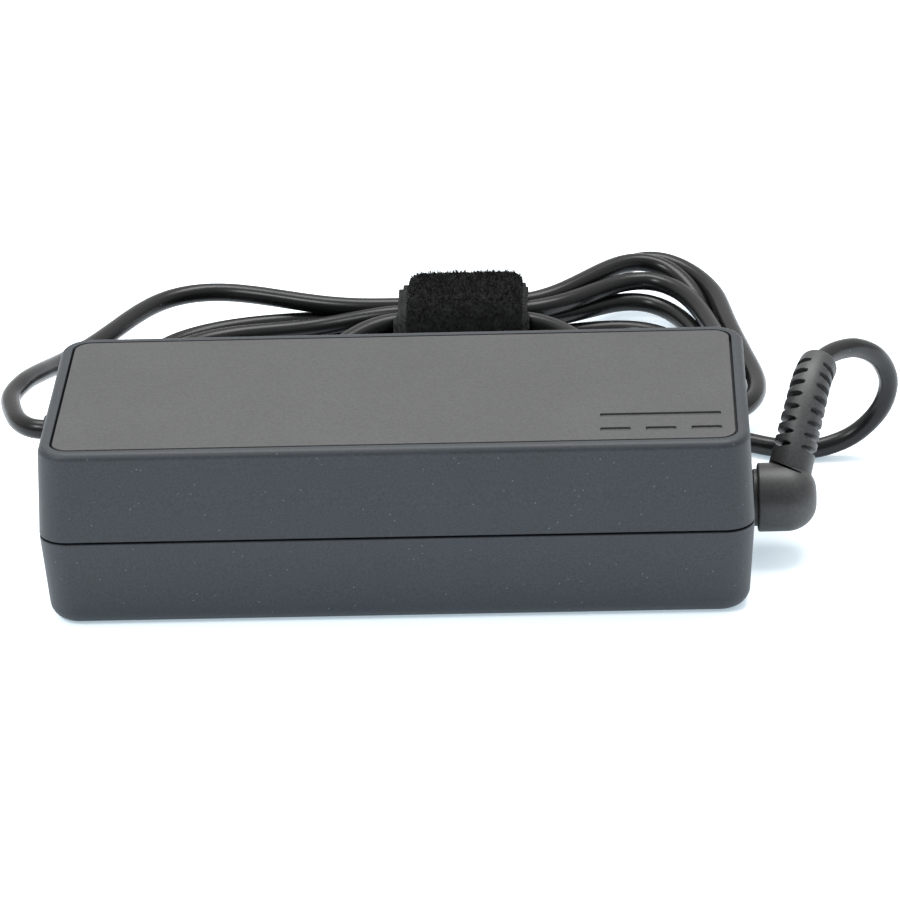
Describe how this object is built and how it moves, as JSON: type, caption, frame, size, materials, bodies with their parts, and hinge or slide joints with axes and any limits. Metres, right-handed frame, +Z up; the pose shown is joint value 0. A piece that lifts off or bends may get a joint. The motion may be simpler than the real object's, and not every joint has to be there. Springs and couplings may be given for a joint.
{
  "type": "laptop power adapter",
  "caption": "Boxy two-part power adapter with an inset top panel, a strapped hank of low-voltage cord behind it and a right-angle barrel plug at one end.",
  "frame": {"origin": "middle of the case's underside, on the surface it stands on", "axes": "+X along the case to the mains inlet, +Y to the cord's hank behind it, +Z up out of the top panel"},
  "size_m": [0.1451, 0.1258, 0.029],
  "materials": {
    "casing": "matt fine-textured moulding, dark grey",
    "panel": "matt smooth moulding, mid grey",
    "overmould": "satin flexible moulding, dark grey",
    "cord": "satin flexible jacket",
    "strap": "black loop pile on a woven band",
    "label": "blank printed film",
    "socket": "black moulding",
    "brass": "plated pin",
    "nickel": "nickel plate",
    "board": "glass epoxy board",
    "film": "insulating film",
    "aluminium": "plain sheet",
    "ferrite": "sintered ferrite",
    "copper": "enamelled copper wire",
    "tape": "polyester tape over copper",
    "chip": "moulded package",
    "capacitor": "sleeved aluminium can",
    "film_capacitor": "boxed film capacitor",
    "ceramic": "dipped ceramic",
    "fuse": "ceramic tube fuse",
    "wire": "insulated wire"
  },
  "bodies": {
    "adapter": {"upper_shell": "casing", "lower_shell": "casing", "top_panel": "panel", "rating_label": "label", "inlet_socket": "socket", "inlet_pin_line": "brass", "inlet_pin_neutral": "brass", "inlet_pin_earth": "brass", "cord_gland": "overmould", "main_circuit_board": "board", "insulating_film": "film", "top_heat_spreader": "aluminium", "primary_heatsink": "aluminium", "secondary_heatsink": "aluminium", "line_fuse": "fuse", "inrush_thermistor": "chip", "x_capacitor": "film_capacitor", "emi_choke_core": "ferrite", "emi_choke_winding_line": "copper", "emi_choke_winding_neutral": "copper", "bridge_rectifier": "chip", "bulk_capacitor": "capacitor", "switching_transistor": "chip", "transformer_core_front": "ferrite", "transformer_core_rear": "ferrite", "transformer_bobbin": "chip", "transformer_winding": "tape", "y_capacitor": "ceramic", "output_rectifier": "chip", "output_choke": "ferrite", "output_capacitor_1": "capacitor", "output_capacitor_2": "capacitor", "optocoupler": "chip", "controller_chip": "chip", "inlet_lead_line": "wire", "inlet_lead_neutral": "wire", "inlet_lead_earth": "wire", "output_lead_positive": "wire", "output_lead_negative": "wire", "dc_cord_start": "cord", "dc_cord_hank": "cord", "hook_and_loop_strap": "strap"},
    "plug": {"plug_overmould": "overmould", "plug_barrel": "nickel", "plug_insulator": "socket", "plug_inner_contact": "brass", "dc_cord_end": "cord"}
  },
  "joints": [
    {"name": "plug_pull", "type": "slide", "parent": "adapter", "child": "plug", "axis": [1, 0, 0], "range_m": [0, 0.012]}
  ]
}
